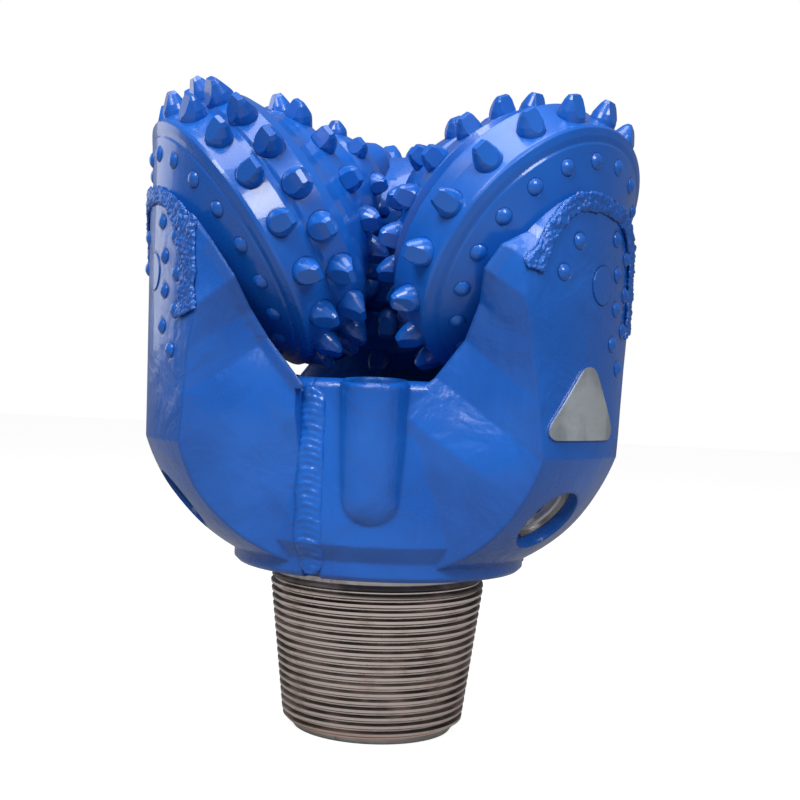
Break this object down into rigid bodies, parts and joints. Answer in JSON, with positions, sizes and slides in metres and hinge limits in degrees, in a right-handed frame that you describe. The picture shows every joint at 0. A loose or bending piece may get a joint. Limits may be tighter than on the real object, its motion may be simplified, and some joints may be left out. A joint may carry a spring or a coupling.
{
  "type": "tricone drill bit",
  "caption": "Rotary rock bit with three rolling cones set with carbide inserts, on a threaded tapered pin.",
  "frame": {"origin": "centre of the pin's small end", "axes": "+Z along the bit's axis towards the cones; -Y is the side shown, between the left and right legs"},
  "size_m": [0.3886, 0.3751, 0.5038],
  "materials": {
    "blue_paint": "gloss",
    "cone_paint": "gloss",
    "painted_carbide": "gloss",
    "painted_hardfacing": "rough gloss",
    "painted_weld": "gloss",
    "bare_steel": "machined",
    "carbide": "ground",
    "black_rubber": "matte",
    "bronze": "machined",
    "cap_steel": "satin"
  },
  "bodies": {
    "bit_body": {"ball_plug_back": "blue_paint", "ball_plug_left": "blue_paint", "ball_plug_right": "blue_paint", "hardfacing_back": "painted_hardfacing", "hardfacing_left": "painted_hardfacing", "hardfacing_right": "painted_hardfacing", "jet_nozzle_back": "carbide", "jet_nozzle_left": "carbide", "jet_nozzle_right": "carbide", "jet_o_rings": "black_rubber", "jet_retainers": "bare_steel", "jet_seat_sleeves": "bare_steel", "leg_back": "blue_paint", "leg_left": "blue_paint", "leg_right": "blue_paint", "reservoir_cap_back": "cap_steel", "reservoir_cap_left": "cap_steel", "reservoir_cap_right": "cap_steel", "reservoir_cups": "bare_steel", "reservoir_diaphragms": "black_rubber", "reservoir_snap_rings": "bare_steel", "seam_weld_back": "painted_weld", "seam_weld_left": "painted_weld", "seam_weld_right": "painted_weld", "shirttail_buttons_back": "painted_carbide", "shirttail_buttons_left": "painted_carbide", "shirttail_buttons_right": "painted_carbide"},
    "balls_back": {"bearing_balls_back": "bare_steel"},
    "balls_left": {"bearing_balls_left": "bare_steel"},
    "balls_right": {"bearing_balls_right": "bare_steel"},
    "cone_back": {"cone_back_bushing": "bronze", "cone_back_gauge_inserts": "painted_carbide", "cone_back_heel_buttons": "painted_carbide", "cone_back_nose_inserts": "painted_carbide", "cone_back_seal_ring": "black_rubber", "cone_back_second_inserts": "painted_carbide", "cone_back_shell": "cone_paint", "cone_back_third_inserts": "painted_carbide", "cone_back_thrust_disc": "bare_steel"},
    "cone_left": {"cone_left_bushing": "bronze", "cone_left_gauge_inserts": "painted_carbide", "cone_left_heel_buttons": "painted_carbide", "cone_left_nose_inserts": "painted_carbide", "cone_left_seal_ring": "black_rubber", "cone_left_second_inserts": "painted_carbide", "cone_left_shell": "cone_paint", "cone_left_third_inserts": "painted_carbide", "cone_left_thrust_disc": "bare_steel"},
    "cone_right": {"cone_right_bushing": "bronze", "cone_right_gauge_inserts": "painted_carbide", "cone_right_heel_buttons": "painted_carbide", "cone_right_nose_inserts": "painted_carbide", "cone_right_seal_ring": "black_rubber", "cone_right_second_inserts": "painted_carbide", "cone_right_shell": "cone_paint", "cone_right_thrust_disc": "bare_steel"}
  },
  "joints": [
    {"name": "cone_right_spin", "type": "hinge", "parent": "bit_body", "child": "cone_right", "pos_m": [0.004, 0.00693, 0.47], "axis": [0.718, -0.4145, -0.5592], "continuous": true},
    {"name": "balls_right_orbit", "type": "hinge", "parent": "bit_body", "child": "balls_right", "pos_m": [0.004, 0.00693, 0.47], "axis": [0.718, -0.4145, -0.5592], "continuous": true},
    {"name": "cone_back_spin", "type": "hinge", "parent": "bit_body", "child": "cone_back", "pos_m": [-0.008, 0, 0.47], "axis": [0, 0.829, -0.5592], "continuous": true},
    {"name": "balls_back_orbit", "type": "hinge", "parent": "bit_body", "child": "balls_back", "pos_m": [-0.008, 0, 0.47], "axis": [0, 0.829, -0.5592], "continuous": true},
    {"name": "cone_left_spin", "type": "hinge", "parent": "bit_body", "child": "cone_left", "pos_m": [0.004, -0.00693, 0.47], "axis": [-0.718, -0.4145, -0.5592], "continuous": true},
    {"name": "balls_left_orbit", "type": "hinge", "parent": "bit_body", "child": "balls_left", "pos_m": [0.004, -0.00693, 0.47], "axis": [-0.718, -0.4145, -0.5592], "continuous": true}
  ],
  "couplings": [
    {"joint": "balls_right_orbit", "follows": "cone_right_spin", "ratio": 0.61},
    {"joint": "balls_back_orbit", "follows": "cone_back_spin", "ratio": 0.61},
    {"joint": "balls_left_orbit", "follows": "cone_left_spin", "ratio": 0.61}
  ]
}
